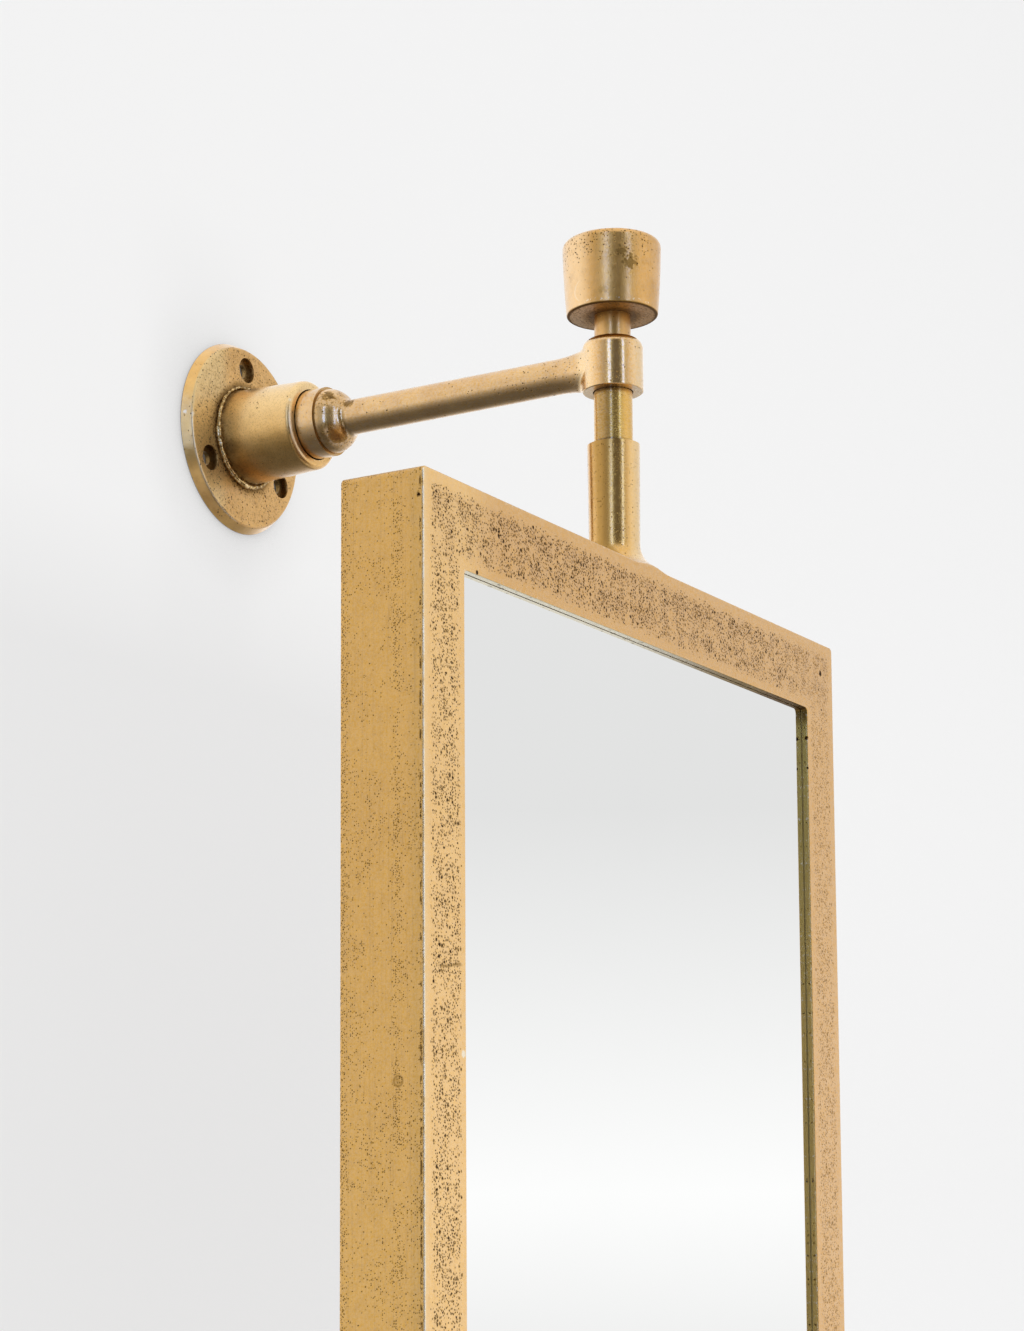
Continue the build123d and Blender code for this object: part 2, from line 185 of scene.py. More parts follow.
def pits(place, size, share, settings=None):
    """Pores in a casting, about this far apart; share is how many of them are open."""
    drift = place.node("TexNoise", {"Vector": place, "Scale": 1.3 / size, "Detail": 1.0}, out=1)
    pull = {0: drift, 1: (0.5, 0.5, 0.5)}
    pull = place.node("VectorMath", pull, {"operation": "SUBTRACT"})
    pull = place.node("VectorMath", {0: pull, "Scale": 0.5 * size}, {"operation": "SCALE"})
    bent = place.node("VectorMath", {0: place, 1: pull}, {"operation": "ADD"})
    cells = {"Vector": bent, "Scale": 1 / size}
    distance, colour = place.node("TexVoronoi", cells, settings, out=(0, 1))
    pick, girth, depth = axes_of(colour)
    radius = girth * 0.22 + 0.20
    core = ease(distance, radius, radius * 0.6)
    skirt = ease(distance, radius * 1.6, radius * 0.8)
    is_open = ease(share - pick, 0.0, 0.04)
    return (core * 0.72 + skirt * 0.28) * is_open * (depth * 0.45 + 0.55)


def marks(place, *spots):
    """Ragged patches on a piece, each by its middle, its radius and its raggedness."""
    found = 0
    for middle, radius, raggedness in spots:
        wobble = (grain(place, radius * 0.5, 3.0, 0.6) - 0.5) * radius * raggedness * 4
        found = ease(away_from(place, middle) + wobble, radius, radius * 0.5) + found
    return found


def dress(material, *names):
    """Give CAD pieces this material."""
    for name in names:
        mesh = frame["nodes"][name].data
        mesh.materials.clear()
        mesh.materials.append(material)


tarnish_and_shade = (0.19, 0.105, 0.030)
pore_dirt = (0.050, 0.022, 0.008)
chip_and_highlight_white = (0.98, 0.88, 0.68)


def cast_brass(
    shader, place, tone, open_pits, stain_and_shade, chips_and_highlights, roughness, bump, skin_index, skin_blur=0.16,
):
    """Finish a brass surface. The wires say where the tone is stained or painted with shade, pitted,
    and chipped or painted with highlights.

    The burnished skin of the metal, a coat of this index and blur, gives the white lights. It
    is broken up, and missing on stains, painted shade and pores.
    """
    mottle = grain(place, 0.0035, 4.0, 0.65, shift=(4, 1, 8))
    fine = grain(place, 0.0006, 3.0, 0.7)
    tone = tint(ease(mottle, 0.45, 0.80) * 0.09, tone, tarnish_and_shade)
    tone = tint(ease(fine, 0.50, 0.75) * 0.09, tone, tarnish_and_shade)
    # The tarnish brown also lays painted shade here, and the chip white lays painted highlights.
    tone = tint(stain_and_shade, tone, tarnish_and_shade)
    tone = tint(chips_and_highlights, tone, chip_and_highlight_white)
    tone = tint(open_pits, tone, pore_dirt)
    height = fine * 0.25 + mottle * 0.5 - open_pits * 1.4
    slope = {"Strength": bump, "Distance": 0.00025, "Height": height}
    skin = flecks(place, 0.0011, 0.30, 0.62, roughness=0.75, shift=(9, 4, 4)) * 0.8 + 0.2
    connect(shader, {
        "Base Color": tone,
        "Metallic": 1.0,
        "Roughness": roughness + (mottle - 0.5) * 0.2 + open_pits * 0.3 + stain_and_shade * 0.12,
        "Normal": place.node("Bump", slope),
        "Coat Weight": skin * ease(open_pits + stain_and_shade * 0.7, 0.5, 0.0),
        "Coat Roughness": skin_blur,
        "Coat IOR": skin_index,
    })


flange_low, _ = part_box("wall_flange")
flange_front = 0.0050  # the face, from the wall
front_edge = 0.0434  # radius where the face meets the rim
hub_root = 0.0228  # radius of the hub at the face
hub_end = -flange_low.y
recess_inner = 0.0255  # the screw recesses lie between these two radii
recess_outer = 0.0412
bright_casting = (0.92, 0.56, 0.185)
dull_casting = (0.80, 0.46, 0.130)
sandy_face = (0.72, 0.42, 0.135)
face_left_painted_light = (0.90, 0.66, 0.30)
hub_top_highlight = (0.98, 0.69, 0.32)
root_shade_olive = (0.64, 0.46, 0.20)
root_shade_brown = (0.34, 0.25, 0.115)
rim_chip = ((-0.0448, -0.0015, 0.0020), 0.0012, 0.4)
edge_chip = ((-0.0428, -0.0046, 0.0010), 0.0014, 0.4)
hub_chip = ((-0.0190, -0.0435, 0.0075), 0.0010, 0.4)

material, shader, place, _ = new_finish("flange_brass")
x, y, z = axes_of(place)
from_axis = across(x, z)
rim = ease(from_axis, front_edge - 0.0029, front_edge - 0.0009)
on_front = ease(-y, flange_front - 0.0012, flange_front - 0.0005)
on_face = ease(from_axis, hub_root, hub_root + 0.003) * on_front
on_hub = (1 - on_face) * (1 - rim)
near_flange = ease(-y, flange_front + 0.012, flange_front + 0.002) * on_hub

clouds = grain(place, 0.012, 3.0, 0.6)
speckle = flecks(place, 0.0013, 0.50, 0.64, 4.0, 0.8, shift=(2, 5, 3))
sand = flecks(place, 0.0008, 0.50, 0.62, shift=(3, 3, 1))
# Brown dirt and painted shade round the root of the hub on the face.
root_dirt_and_shade = band(from_axis, hub_root + 0.0012, 0.0050) * band(-y, flange_front + 0.0005, 0.0045)
# Painted shade with dirt in the screw recesses.
recess_dirt_and_shade = ease(-y, flange_front - 0.0003, flange_front - 0.0012)
recess_dirt_and_shade = recess_dirt_and_shade * ease(from_axis, recess_inner, recess_inner + 0.0010)
recess_dirt_and_shade = recess_dirt_and_shade * ease(from_axis, recess_outer, recess_outer - 0.0010)
upper_face = on_face * ease(z, -0.010, 0.020)
stain_and_shade = on_face * speckle * ease(clouds, 0.20, 0.55) * 0.52 + root_dirt_and_shade * 0.75
stain_and_shade = (stain_and_shade + recess_dirt_and_shade * 0.6 + upper_face * ease(clouds, 0.4, 0.6) * 0.10) * (1 - rim * 0.7)
# Painted shade on the hub near the flange, and sand specks all over the hub.
stain_and_shade = stain_and_shade + near_flange * (0.10 + speckle * 0.50) + on_hub * sand * 0.24
lower_left = ease(-x - z, -0.006, 0.018)
# More painted shade on the face by the hub's root, on the lower left.
root_shade_low_left = on_face * ease(from_axis, hub_root + 0.0105, hub_root + 0.0030) * lower_left
stain_and_shade = stain_and_shade + root_shade_low_left * (0.16 + speckle * 0.42)

hub_edge = band(-y, hub_end, 0.0012)
nicks = flecks(place, 0.0020, 0.66, 0.72, shift=(7, 7, 2))
bright_marks = nicks * hub_edge * 0.7 + marks(place, rim_chip, edge_chip, hub_chip) * 0.5
# Painted highlights: thin bright lines on the lower left of the face's edge and of the hub's end.
edge_highlight = band(from_axis, front_edge, 0.0005) * ease(-y, flange_front - 0.0010, flange_front - 0.0003)
hub_rim_highlight = band(-y, hub_end - 0.0003, 0.0009)
low_left = ease(-x, 0.004, 0.012) * ease(-z, -0.006, 0.004)
bright_marks = bright_marks + low_left * (edge_highlight * 0.7 + hub_rim_highlight * 0.50)

tone = tint(ease(clouds, 0.3, 0.7), bright_casting, dull_casting)
tone = tint(on_face * 0.5, tone, sandy_face)
# Painted light: the face left of the hub is painted paler.
tone = tint(on_face * ease(-x, 0.012, 0.024) * 0.8, tone, face_left_painted_light)
# Painted highlight: the top of the hub is painted paler.
tone = tint(on_hub * ease(z, -0.012, 0.014), tone, hub_top_highlight)
# Painted shade on the hub by the flange, browner and darker underneath.
tone = tint(near_flange * 0.5, tone, root_shade_olive)
tone = tint(near_flange * ease(-z, -0.004, 0.014) * 0.75, tone, root_shade_brown)
open_pits = pits(place, 0.0010, on_face * 0.30 + ease(clouds, 0.4, 0.6) * 0.12)
roughness = 0.33 + on_face * 0.12
cast_brass(shader, place, tone, open_pits, stain_and_shade, bright_marks, roughness, bump=0.6, skin_index=1.5)
dress(material, "wall_flange")


# ---------------------------------------------------------------- bead at the hub's root
# Where the hub meets the flange the casting has a lumpy bead of metal, left by the mould's
# joint and only roughly dressed. Its high spots are rubbed bright; on its lower left they carry
# painted highlights, and its grime, mixed with painted shade, thins out there.
bead_radius = 0.0240
bead_level = flange_front + 0.0009
bead_thickness = 0.0010
long_lumps = 140  # lumps to the metre along the bead
short_lumps = 650
grimy_lumps = (0.70, 0.46, 0.16)
bright_lumps = (0.95, 0.66, 0.28)


def put_in_scene(name, shape):
    """Make an object of a finished bmesh; its place is in its mesh."""
    mesh = bpy.data.meshes.new(name)
    shape.to_mesh(mesh)
    shape.free()
    made = bpy.data.objects.new(name, mesh)
    bpy.context.scene.collection.objects.link(made)
    return made


shape = bmesh.new()
section = bmesh.ops.create_circle(shape, segments=10, radius=bead_thickness)["verts"]
bmesh.ops.translate(shape, verts=section, vec=(bead_radius, -bead_level, 0))
bmesh.ops.spin(
    shape, geom=shape.verts[:] + shape.edges[:], cent=(0, 0, 0), axis=(0, 1, 0),
    angle=2 * math.pi, steps=260, use_merge=True,
)
bmesh.ops.recalc_face_normals(shape, faces=shape.faces)
for vert in shape.verts:
    spoke = Vector((vert.co.x, 0, vert.co.z)).normalized()
    core = spoke * bead_radius + Vector((0, -bead_level, 0))
    lumps = noise.noise(core * long_lumps) * 0.7 + noise.noise(vert.co * short_lumps) * 0.45
    low_left = max(0.0, -spoke.x * 0.7 - spoke.z * 0.7)
    vert.co = core + (vert.co - core) * (0.75 + lumps * 0.8 + low_left * 0.9)
for face in shape.faces:
    face.smooth = True
bead = put_in_scene("root_bead", shape)
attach(bead, "bracket")

material, shader, place, _ = new_finish("bead_brass")
x, _, z = axes_of(place)
lumps = grain(place, 0.0018, 4.0, 0.75)
# Painted highlights: glints on the lit lower left, where the grime and painted shade in the low lumps
# also thin out.
lit_side = ease(-x - z, 0.008, 0.028)
grime_and_shade = ease(lumps, 0.62 - lit_side * 0.08, 0.46 - lit_side * 0.08)
glints = lit_side * ease(lumps, 0.56, 0.62)
tone = tint(lumps, grimy_lumps, bright_lumps)
open_pits = pits(place, 0.0010, 0.3)
cast_brass(shader, place, tone, open_pits, grime_and_shade * 0.85, glints * 0.6, 0.24, bump=0.8, skin_index=1.7)
bead.data.materials.append(material)


# ---------------------------------------------------------------- arm
# One brass casting from the tail in the hub to the eye. The ring and the dome are turned,
# the rod is only filed and keeps a few pores, and the eye is polished by handling. The eye's
# sides carry a painted highlight, and the gap at the hub and the eye's underside painted shade.
eye_axis = -frame["joints"][0]["pos_m"][1]
ring_end = 0.0542  # from the wall
dome_end = ring_end + 0.016
eye_radius = 0.0131
eye_foot = -0.0118
bright_rod = (0.84, 0.50, 0.155)
dull_rod = (0.72, 0.40, 0.105)
deep_eye = (0.80, 0.44, 0.10)
eye_side_highlight = (0.94, 0.66, 0.32)
dome_blotch = ((-0.0095, -0.0590, 0.0085), 0.0040, 0.4)
neck_blotch = ((-0.0060, -0.0685, 0.0045), 0.0035, 0.4)


def beside_pin(x, y):
    """Distance to the side of the pin; the left side is negative."""
    return x * 0.469 - (y + eye_axis) * 0.883


material, shader, place, _ = new_finish("arm_brass")
x, y, z = axes_of(place)
from_pin = across(x, y + eye_axis)
clouds = grain(place, 0.010, 3.0, 0.6, shift=(1, 2, 3))
on_dome = ease(-y, ring_end, ring_end + 0.001) * ease(-y, dome_end, dome_end - 0.004)
on_eye = ease(from_pin, eye_radius + 0.0044, eye_radius + 0.0014)
near_eye = ease(-y, eye_axis - 0.055, eye_axis - 0.030) * (1 - on_eye)

speckle = flecks(place, 0.0011, 0.52, 0.64, 4.0, 0.8, shift=(1, 5, 3))
# Painted shade in the gap at the hub's end and at the ring's edge.
groove_shade = ease(-y, hub_end + 0.0011, hub_end) + band(-y, ring_end + 0.0003, 0.0006) * 0.9
stain_and_shade = groove_shade * 0.8 + marks(place, dome_blotch, neck_blotch) * 0.75
stain_and_shade = stain_and_shade + on_dome * (0.14 + speckle * 0.60) * ease(clouds, 0.38, 0.56)
# Painted shade under the eye.
stain_and_shade = stain_and_shade + ease(z, eye_foot + 0.0004, eye_foot - 0.0004) * on_eye * 0.25
nicks = flecks(place, 0.0014, 0.62, 0.67, shift=(3, 8, 2))
bright_marks = nicks * band(-y, ring_end - 0.001, 0.0012) * 0.9
eye_edge = band(z, eye_foot + 0.0001, 0.0008) * ease(from_pin, eye_radius + 0.0007, eye_radius)
bright_marks = bright_marks + nicks * eye_edge

tone = tint(ease(clouds, 0.3, 0.7), bright_rod, dull_rod)
tone = tint(on_eye * 0.6, tone, deep_eye)
# Painted highlight on the eye's left and right sides.
eye_sides_lit = on_eye * ease(abs(beside_pin(x, y)), 0.0065, 0.0115)
tone = tint(eye_sides_lit * 0.8, tone, eye_side_highlight)
open_pits = pits(place, 0.0011, 0.08 + on_dome * 0.3 * ease(clouds, 0.4, 0.6) + near_eye * 0.26)
roughness = 0.31 - on_eye * 0.07
cast_brass(
    shader, place, tone, open_pits, stain_and_shade, bright_marks, roughness, bump=0.5, skin_index=2.6,
    skin_blur=0.11,
)
dress(material, "arm")


# ---------------------------------------------------------------- arm's fastening
# Zinc plated steel behind the web of the hub: a socket head bolt, a split lock washer, a
# plain washer, and a dowel that keeps the arm from turning in its socket.
bright_zinc = (0.72, 0.73, 0.72)
dull_zinc = (0.50, 0.50, 0.47)
blue_zinc = (0.42, 0.43, 0.45)


def zinc_steel(name, roughness):
    """Bright zinc with its faint spangle, dulled in clouds."""
    material, shader, place, _ = new_finish(name)
    spangle = place.node("TexVoronoi", {"Vector": place, "Scale": 700.0}, out=1)
    shade, _, _ = axes_of(spangle)
    dull = flecks(place, 0.003, 0.4, 0.7, roughness=0.6)
    tone = tint(dull * 0.5, bright_zinc, dull_zinc)
    slope = {"Strength": 0.2, "Distance": 0.0001, "Height": grain(place, 0.0004)}
    connect(shader, {
        "Base Color": tint(shade * 0.12, tone, blue_zinc),
        "Metallic": 1.0,
        "Roughness": roughness + dull * 0.15,
        "Normal": place.node("Bump", slope),
    })
    return material


fasteners = ("arm_bolt", "arm_lock_washer", "arm_plain_washer", "arm_dowel")
dress(zinc_steel("fastener_zinc", 0.32), *fasteners)


# ---------------------------------------------------------------- friction washers
# Natural nylon washers, turned from rod. They lie above and below the step in the eye's bore
# and give the mirror its drag.
white_nylon = (0.80, 0.77, 0.68)
yellow_nylon = (0.72, 0.68, 0.57)

material, shader, place, _ = new_finish("nylon")
milk = grain(place, 0.002)
connect(shader, {
    "Base Color": tint(milk, white_nylon, yellow_nylon),
    "Roughness": 0.38 + milk * 0.15,
})
dress(material, "upper_friction_washer", "lower_friction_washer")


# ---------------------------------------------------------------- swivel pin
# Turned brass rod that runs down through the sleeve: fine rings from the lathe, brighter and
# yellower than the castings, with painted shade where it enters the eye and the sleeve and a
# painted dark reflection down its left edge.
_, pin_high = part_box("swivel_pin")
_, sleeve_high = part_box("mirror_frame")
pin_radius = pin_high.x
sleeve_top = sleeve_high.z
bright_turning = (0.84, 0.50, 0.110)
dull_turning = (0.70, 0.39, 0.075)

material, shader, place, _ = new_finish("turned_brass")
x, _, z = axes_of(place)
clouds = grain(place, 0.008, 3.0, 0.6)
rings = grain(place, 0.00035, 2.0, 0.6, stretch=(60, 60, 1))
specks = flecks(place, 0.0009, 0.55, 0.66, 4.0, 0.8, shift=(3, 5, 3))
# Painted dark reflection down the left edge, and painted shade where the pin enters the sleeve and the
# eye.
left_edge_dark_reflection = ease(x, -pin_radius + 0.0018, -pin_radius + 0.0002)
stain_and_shade = band(z, sleeve_top + 0.0006, 0.0016) * 0.7 + band(z, eye_foot - 0.0004, 0.0014) * 0.6
stain_and_shade = stain_and_shade + left_edge_dark_reflection * 0.6 + specks * 0.25
tone = tint(clouds * 0.6, bright_turning, dull_turning)
slope = {"Strength": 0.3, "Distance": 0.0001, "Height": rings + specks}
connect(shader, {
    "Base Color": tint(stain_and_shade, tone, tarnish_and_shade),
    "Metallic": 1.0,
    "Roughness": 0.22 + rings * 0.10,
    "Normal": place.node("Bump", slope),
    "Coat Weight": flecks(place, 0.0010, 0.36, 0.60, roughness=0.75, shift=(9, 4, 4)),
    "Coat Roughness": 0.12,
    "Coat IOR": 1.75,
})
dress(material, "swivel_pin")


# ---------------------------------------------------------------- knob
# Turned from a brass casting: a drum that clamps the eye, with its neck. Pores open near the
# top and brown blotches show where the casting's skin was left. The drum's left side carries a
# painted highlight, and its underside and neck painted shade.
knob_foot = 0.0230  # underside of the drum
neck_radius = 0.0081
bright_drum = (0.80, 0.435, 0.105)
dull_drum = (0.70, 0.37, 0.075)
drum_left_highlight = (0.92, 0.63, 0.32)
drum_blotches = (
    ((-0.0166, -0.2187, 0.0454), 0.0030, 0.7),
    ((-0.0135, -0.2217, 0.0411), 0.0038, 0.7),
)
drum_smear = ((-0.0203, -0.2112, 0.0285), 0.0024, 0.8)

material, shader, place, facing = new_finish("knob_brass")
x, y, z = axes_of(place)
_, _, nz = axes_of(facing)
beside = beside_pin(x, y)
from_pin = across(x, y + eye_axis)
under = ease(-nz, 0.6, 0.8) * ease(z, knob_foot + 0.002, knob_foot + 0.001)
on_neck = ease(z, knob_foot + 0.0002, knob_foot - 0.0002)
on_neck = on_neck * ease(from_pin, neck_radius + 0.0019, neck_radius + 0.0004)
upper_left = ease(z, 0.039, 0.051) * ease(-x, -0.002, 0.010)

clouds = grain(place, 0.012, 3.0, 0.6, shift=(5, 1, 1))
speckle = flecks(place, 0.0010, 0.48, 0.62, 4.0, 0.8, shift=(2, 5, 3))
dull_patches = flecks(place, 0.0045, 0.50, 0.68, 5.0, stretch=(1, 1, 1.5), shift=(1, 6, 2))
# Painted shade: a dark ring round the neck under the drum and a dark line along the underside's edge.
neck_shadow = ease(from_pin, neck_radius + 0.0069, neck_radius + 0.0014)
rim_shade_line = band(z, knob_foot + 0.0001, 0.0007) * ease(from_pin, 0.0185, 0.0195)
stain_and_shade = marks(place, *drum_blotches) * 0.68 + marks(place, drum_smear) * 0.25
stain_and_shade = stain_and_shade + dull_patches * 0.16 + on_neck * 0.12 + rim_shade_line * 0.9
# Painted shade on the underside with dark specks, darkest round the neck.
stain_and_shade = stain_and_shade + under * (0.34 + speckle * 0.5 + neck_shadow * 0.5)

scratch = band(across(beside + 0.0104, z - 0.0300), 0.0060, 0.0004)
scratch = scratch * ease(-beside, 0.0140, 0.0150) * ease(-x, 0.010, 0.012)
nicks = flecks(place, 0.0016, 0.60, 0.66, shift=(6, 2, 2))
bright_marks = nicks * band(z, knob_foot + 0.0016, 0.0012) * 0.6 + scratch * 0.35
tone = tint(ease(clouds, 0.35, 0.7), bright_drum, dull_drum)
# Painted highlight down the drum's left side.
tone = tint(ease(-beside, 0.0075, 0.0150) * 0.8, tone, drum_left_highlight)
open_pits = pits(place, 0.0010, 0.06 + upper_left * 0.60 + under * 0.30)
roughness = 0.34 + under * 0.12
cast_brass(
    shader, place, tone, open_pits, stain_and_shade, bright_marks, roughness, bump=0.45, skin_index=1.9,
    skin_blur=0.22,
)
dress(material, "knob")


# ---------------------------------------------------------------- mirror frame
# One open-backed brass casting with its sleeve. The front and sides are linished along each
# rail, which leaves pores open in the middle of the rails and clean borders. The arrises carry
# painted highlights, and the back and the hollow are left as they came from the sand.
frame_low, frame_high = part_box("mirror_frame")
tape_low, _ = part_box("glazing_tape")
casting_height = 0.610
side_rail = 0.0306
end_rail = 0.0350
sleeve_radius = 0.0115
casting_top = frame_low.z + casting_height
middle = frame_low.z + casting_height / 2
half_width = frame_high.x
half_height = casting_height / 2
half_opening = half_width - side_rail
half_opening_height = half_height - end_rail
face = -frame_low.y
back = -frame_high.y
lip_back = -tape_low.y
bright_side = (0.72, 0.400, 0.078)
dull_side = (0.67, 0.365, 0.068)
low_side = (0.79, 0.450, 0.092)
olive_border = (0.52, 0.310, 0.062)
bright_front = (0.98, 0.62, 0.215)
warm_front = (0.93, 0.565, 0.180)
pale_border = (0.98, 0.70, 0.34)
front_past_left_rail_shade = (0.78, 0.435, 0.115)
dirt_brown = (0.46, 0.225, 0.060)
deep_sleeve = (0.80, 0.45, 0.105)
sleeve_highlight = (0.96, 0.68, 0.33)
reveal_shade = (0.44, 0.31, 0.060)
soffit_painted_light = (0.95, 0.86, 0.62)
raw_casting = (0.24, 0.135, 0.050)
corner_pits = (
    ((-0.1506, -face, -0.1284), 0.0012, 0.1),
    ((-half_width, -face + 0.0022, -0.1058), 0.0011, 0.6),
    ((0.1760, -face, -0.1095), 0.0018, 0.4),
    ((0.1735, -face, -0.1180), 0.0007, 0.4),
    ((0.1765, -face, -0.1275), 0.0007, 0.4),
    ((half_opening, -face + 0.0008, -0.1440), 0.0012, 0.3),
    ((half_opening, -face + 0.0004, -0.1587), 0.0008, 0.2),
)
opening_chip = ((-0.1622, -face, -0.3185), 0.0018, 0.2)
scar_height = -0.2860
ring_middle = (-half_width, -0.2125, -0.3300)

material, shader, place, facing = new_finish("frame_brass")
x, y, z = axes_of(place)
nx, ny, nz = axes_of(facing)
deep = -y
from_side = half_width - abs(x)
from_end = half_height - abs(z - middle)
from_outside = from_side.math("MINIMUM", from_side, from_end)
past_side = abs(x) - half_opening
past_end = abs(z - middle) - half_opening_height
from_opening = past_side.math("MAXIMUM", past_side, past_end)


def looks(component):
    """1 where the normal's component says that the surface looks that way."""
    return ease(component, 0.6, 0.85)


# Where a point is on the casting.
front = looks(-ny)
outer_sides = looks(abs(nx)) * ease(from_side, 0.0025, 0.0012)
outer_ends = looks(abs(nz)) * ease(from_end, 0.0025, 0.0012)
edge = outer_sides.math("MAXIMUM", outer_sides, outer_ends)
lip = ease(deep, lip_back - 0.0004, lip_back)
reveal = (1 - front) * ease(from_opening, 0.0012, 0.0006) * lip
soffit = looks(-nz) * ease(x, 0.10, -0.02)
hollow = ease(deep, lip_back, lip_back - 0.0004) * (1 - edge) * (1 - front)
rear = looks(ny)
inside = rear.math("MAXIMUM", rear, hollow)
inside = inside * ease(-z, -casting_top - 0.0002, -casting_top + 0.0008)
on_sleeve = ease(z, casting_top + 0.001, casting_top + 0.005)
on_top_rail = ease(z, casting_top - end_rail, casting_top - end_rail + 0.0010) * front

# The pores lie in the plane of each face, and round the sleeve.
around_pin = x.math("ARCTAN2", x, -(y + eye_axis)) * sleeve_radius
to_side = ease(abs(nx), 0.6, 0.8)
to_end = ease(abs(nz), 0.6, 0.8)
across_face = x + (y - x) * to_side
across_face = across_face + (around_pin - across_face) * on_sleeve
up_face = z + (y - z) * to_end
flat = place.node("CombineXYZ", {0: across_face, 1: up_face, 2: 0.0})
in_plane = {"voronoi_dimensions": "2D"}

# How many of them are open: few at the borders, many in a band along the top rail.
clouds = grain(place, 0.020, 3.0, 0.6, shift=(2, 2, 2))
drifts = grain(place, 0.007, 3.0, 0.6, stretch=(1, 1, 1.6), shift=(5, 3, 1))
thick = ease(drifts, 0.34, 0.60)
field = ease(from_outside, 0.0035, 0.0085) * ease(from_opening, 0.0025, 0.0065)
upper_band = band(from_end, 0.0105, 0.0085) * on_top_rail
lower_band = band(from_end, 0.0230, 0.0075) * on_top_rail
front_share = field * (0.24 + 0.70 * thick) * (1 - on_top_rail * 0.25)
front_share = front_share + field * (upper_band * 0.55 + lower_band * 0.35) * (thick * 0.7 + 0.3)
front_share = front_share * (1 - ease(x, -0.02, 0.16) * 0.15)
near_back = ease(deep, back + 0.0055, back + 0.0005)
stripe = band(deep, face - 0.0118, 0.0040)
side_share = 0.06 + near_back * 0.60 + stripe * 0.65 * thick
side_share = side_share + 0.30 * thick * ease(clouds, 0.44, 0.58)

# The pores themselves, and the few deep black ones near the corners.
front_pits = pits(flat, 0.00115, front * front_share, in_plane)
big_pits = pits(flat, 0.0020, front * front_share * 0.42, in_plane)
side_pits = pits(flat, 0.00085, edge * side_share + on_sleeve * 0.10, in_plane)
sand_pits = pits(flat, 0.0016, inside * 0.7 + reveal * 0.12, in_plane)
black_pits = marks(place, *corner_pits)
open_pits = front_pits.math("MAXIMUM", front_pits, big_pits) * (1 - ease(x, 0.110, 0.175) * 0.45)
for more_pits in (side_pits * 0.75, sand_pits * 0.8, black_pits):
    open_pits = open_pits.math("MAXIMUM", open_pits, more_pits)

# Tones: the sides are yellower than the front and lighter towards the bottom. The front is painted
# darker past the left rail, the sleeve has a painted highlight on its right, and the reveal is
# painted in shade under the arm, with painted light under the lip at the left.
brushed_up = grain(place, 0.0007, 3.0, 0.6, stretch=(1, 1, 90))
brushed_along = grain(place, 0.0007, 3.0, 0.6, stretch=(90, 1, 1), shift=(1, 5, 2))
brushing = brushed_up + (brushed_along - brushed_up) * on_top_rail
side_tone = tint(ease(clouds, 0.35, 0.65) * 0.5, bright_side, dull_side)
side_tone = tint(ease(-z, 0.22, 0.46) * 0.9, side_tone, low_side)
side_tone = tint(band(deep, face - 0.0035, 0.0045) * 0.30, side_tone, olive_border)
front_tone = tint(ease(clouds, 0.3, 0.7) * 0.35, bright_front, warm_front)
front_tone = tint(ease(from_side, 0.0045, 0.0010) * 0.5, front_tone, pale_border)
# Painted light and shade: the front is painted darker past the left rail.
front_tone = tint(ease(x, -0.168, -0.130) * 0.9, front_tone, front_past_left_rail_shade)
dirt_haze = front_share * front * (0.12 + on_top_rail * 0.63)
front_tone = tint(dirt_haze * 0.35, front_tone, dirt_brown)
# Painted highlight down the right of the sleeve.
sleeve_lit_side = ease(beside_pin(x, y), 0.0045, 0.0100)
sleeve_tone = tint(sleeve_lit_side * 0.8, deep_sleeve, sleeve_highlight)
tone = tint(front, side_tone, front_tone)
tone = tint(on_sleeve, tone, sleeve_tone)
tone = tint(ease(brushing, 0.52, 0.70) * (0.14 - front * 0.08), tone, tarnish_and_shade)
near_top = ease(z, casting_top - 0.200, casting_top - 0.035)
# Painted shade over the reveal, most near the top, and painted light under the lip at the left.
tone = tint(reveal * (0.30 + near_top * 0.55), tone, reveal_shade)
tone = tint(reveal * soffit, tone, soffit_painted_light)
tone = tint(inside * 0.75, tone, raw_casting)

# Stains: a scar across the left rail, a corroded ring on its side and dark dashes along its
# arris. Painted shade lies down the left of the sleeve, in the reveal's top corner and on the right of
# the lip's underside.
scar = band(z - ease(x, -0.176, -0.165) * 0.0016, scar_height, 0.0011)
scar = scar * ease(x, -0.182, -0.177) * ease(-x, 0.162, 0.165) * front
scar = scar * grain(place, 0.0008, 3.0, 0.7)
from_ring = away_from(place, ring_middle)
corroded = band(from_ring, 0.0019, 0.0009) * 0.5 + ease(from_ring, 0.0017, 0.0003) * 0.3
dashes = flecks(place, 0.0013, 0.48, 0.53, 4.0, 0.8, stretch=(1, 1, 1.6), shift=(8, 1, 1))
dashes = dashes * flecks(place, 0.012, 0.42, 0.50, 2.0, 0.5, shift=(6, 2, 4))
dashes = dashes * ease(from_side, 0.0012, 0.0003) * band(deep, face - 0.0014, 0.0008)
# Painted dark reflection down the left of the sleeve.
left_edge_dark_reflection = ease(-x, sleeve_radius - 0.0015, sleeve_radius - 0.0001) * on_sleeve
# Painted shade in the reveal's top right corner and on the right of the lip's underside.
top_corner_shade = ease(z, casting_top - 0.046, casting_top - 0.038) * ease(x, 0.100, 0.155)
soffit_shade = looks(-nz) * ease(x, -0.06, 0.12)
stain_and_shade = scar * 1.3 + corroded + dashes * 1.3 + left_edge_dark_reflection * 0.5
stain_and_shade = stain_and_shade + inside * ease(clouds, 0.4, 0.6) * 0.4
stain_and_shade = stain_and_shade + reveal * (top_corner_shade * 0.85 + soffit_shade * 0.7)

